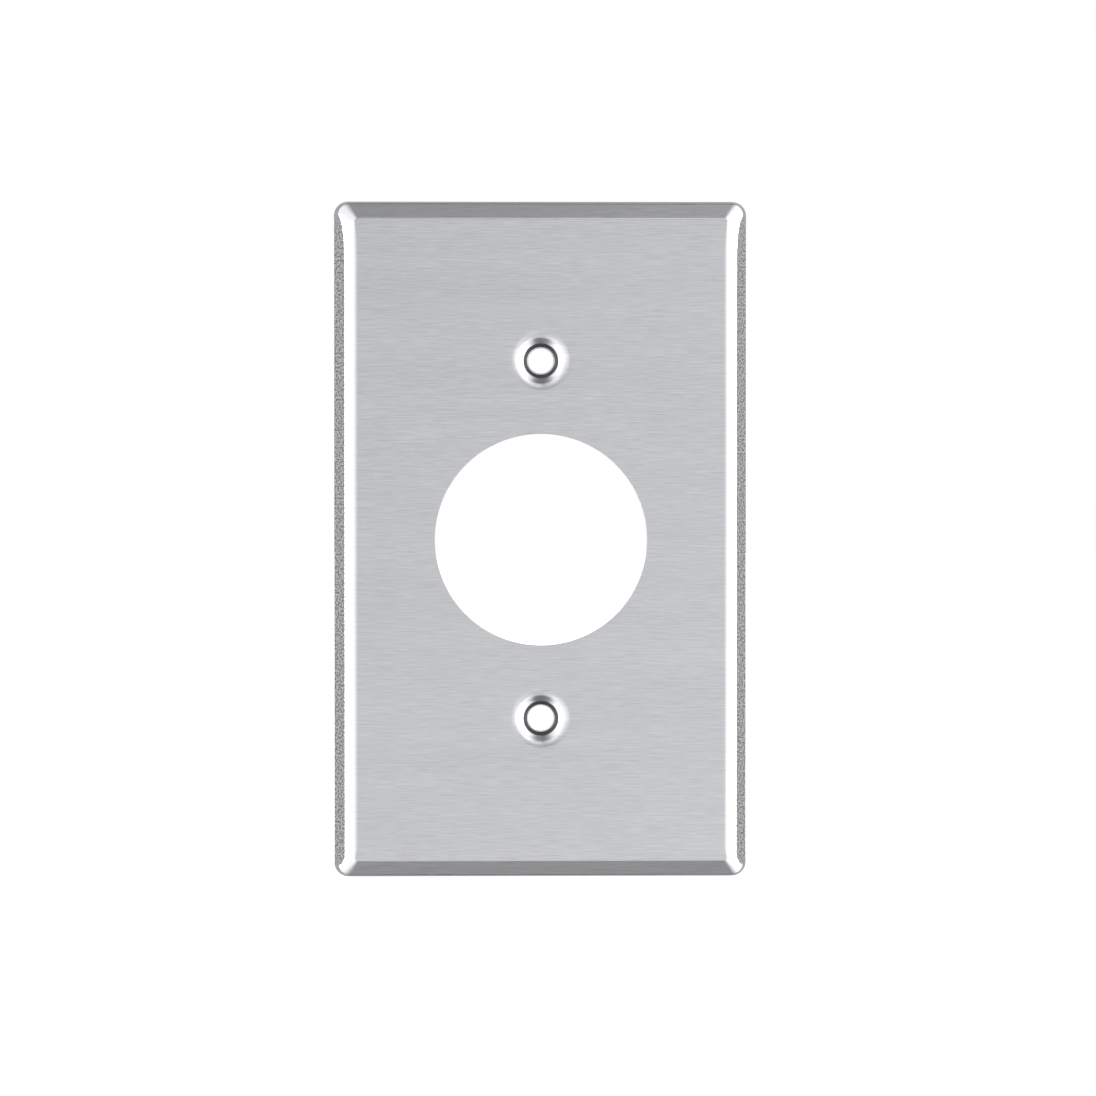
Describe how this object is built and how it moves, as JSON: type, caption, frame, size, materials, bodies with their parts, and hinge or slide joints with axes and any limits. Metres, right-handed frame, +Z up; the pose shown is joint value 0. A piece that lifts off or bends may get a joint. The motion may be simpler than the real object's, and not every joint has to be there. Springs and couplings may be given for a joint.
{
  "type": "wall plate",
  "caption": "Flat rectangular cover plate pressed from brushed steel sheet, with bevelled edges, a round opening for a receptacle and countersunk screw holes.",
  "frame": {"origin": "the point where the middle line of the round opening meets the wall", "axes": "+Z up the wall, +X to the right of someone who looks at the face, +Y into the wall, so the face looks towards -Y"},
  "size_m": [0.0698, 0.0056, 0.1142],
  "materials": {
    "wall_plate": "fine brush lines across the width of the face, dull mill finish behind"
  },
  "bodies": {
    "root": {"wall_plate": "wall_plate"}
  },
  "joints": []
}
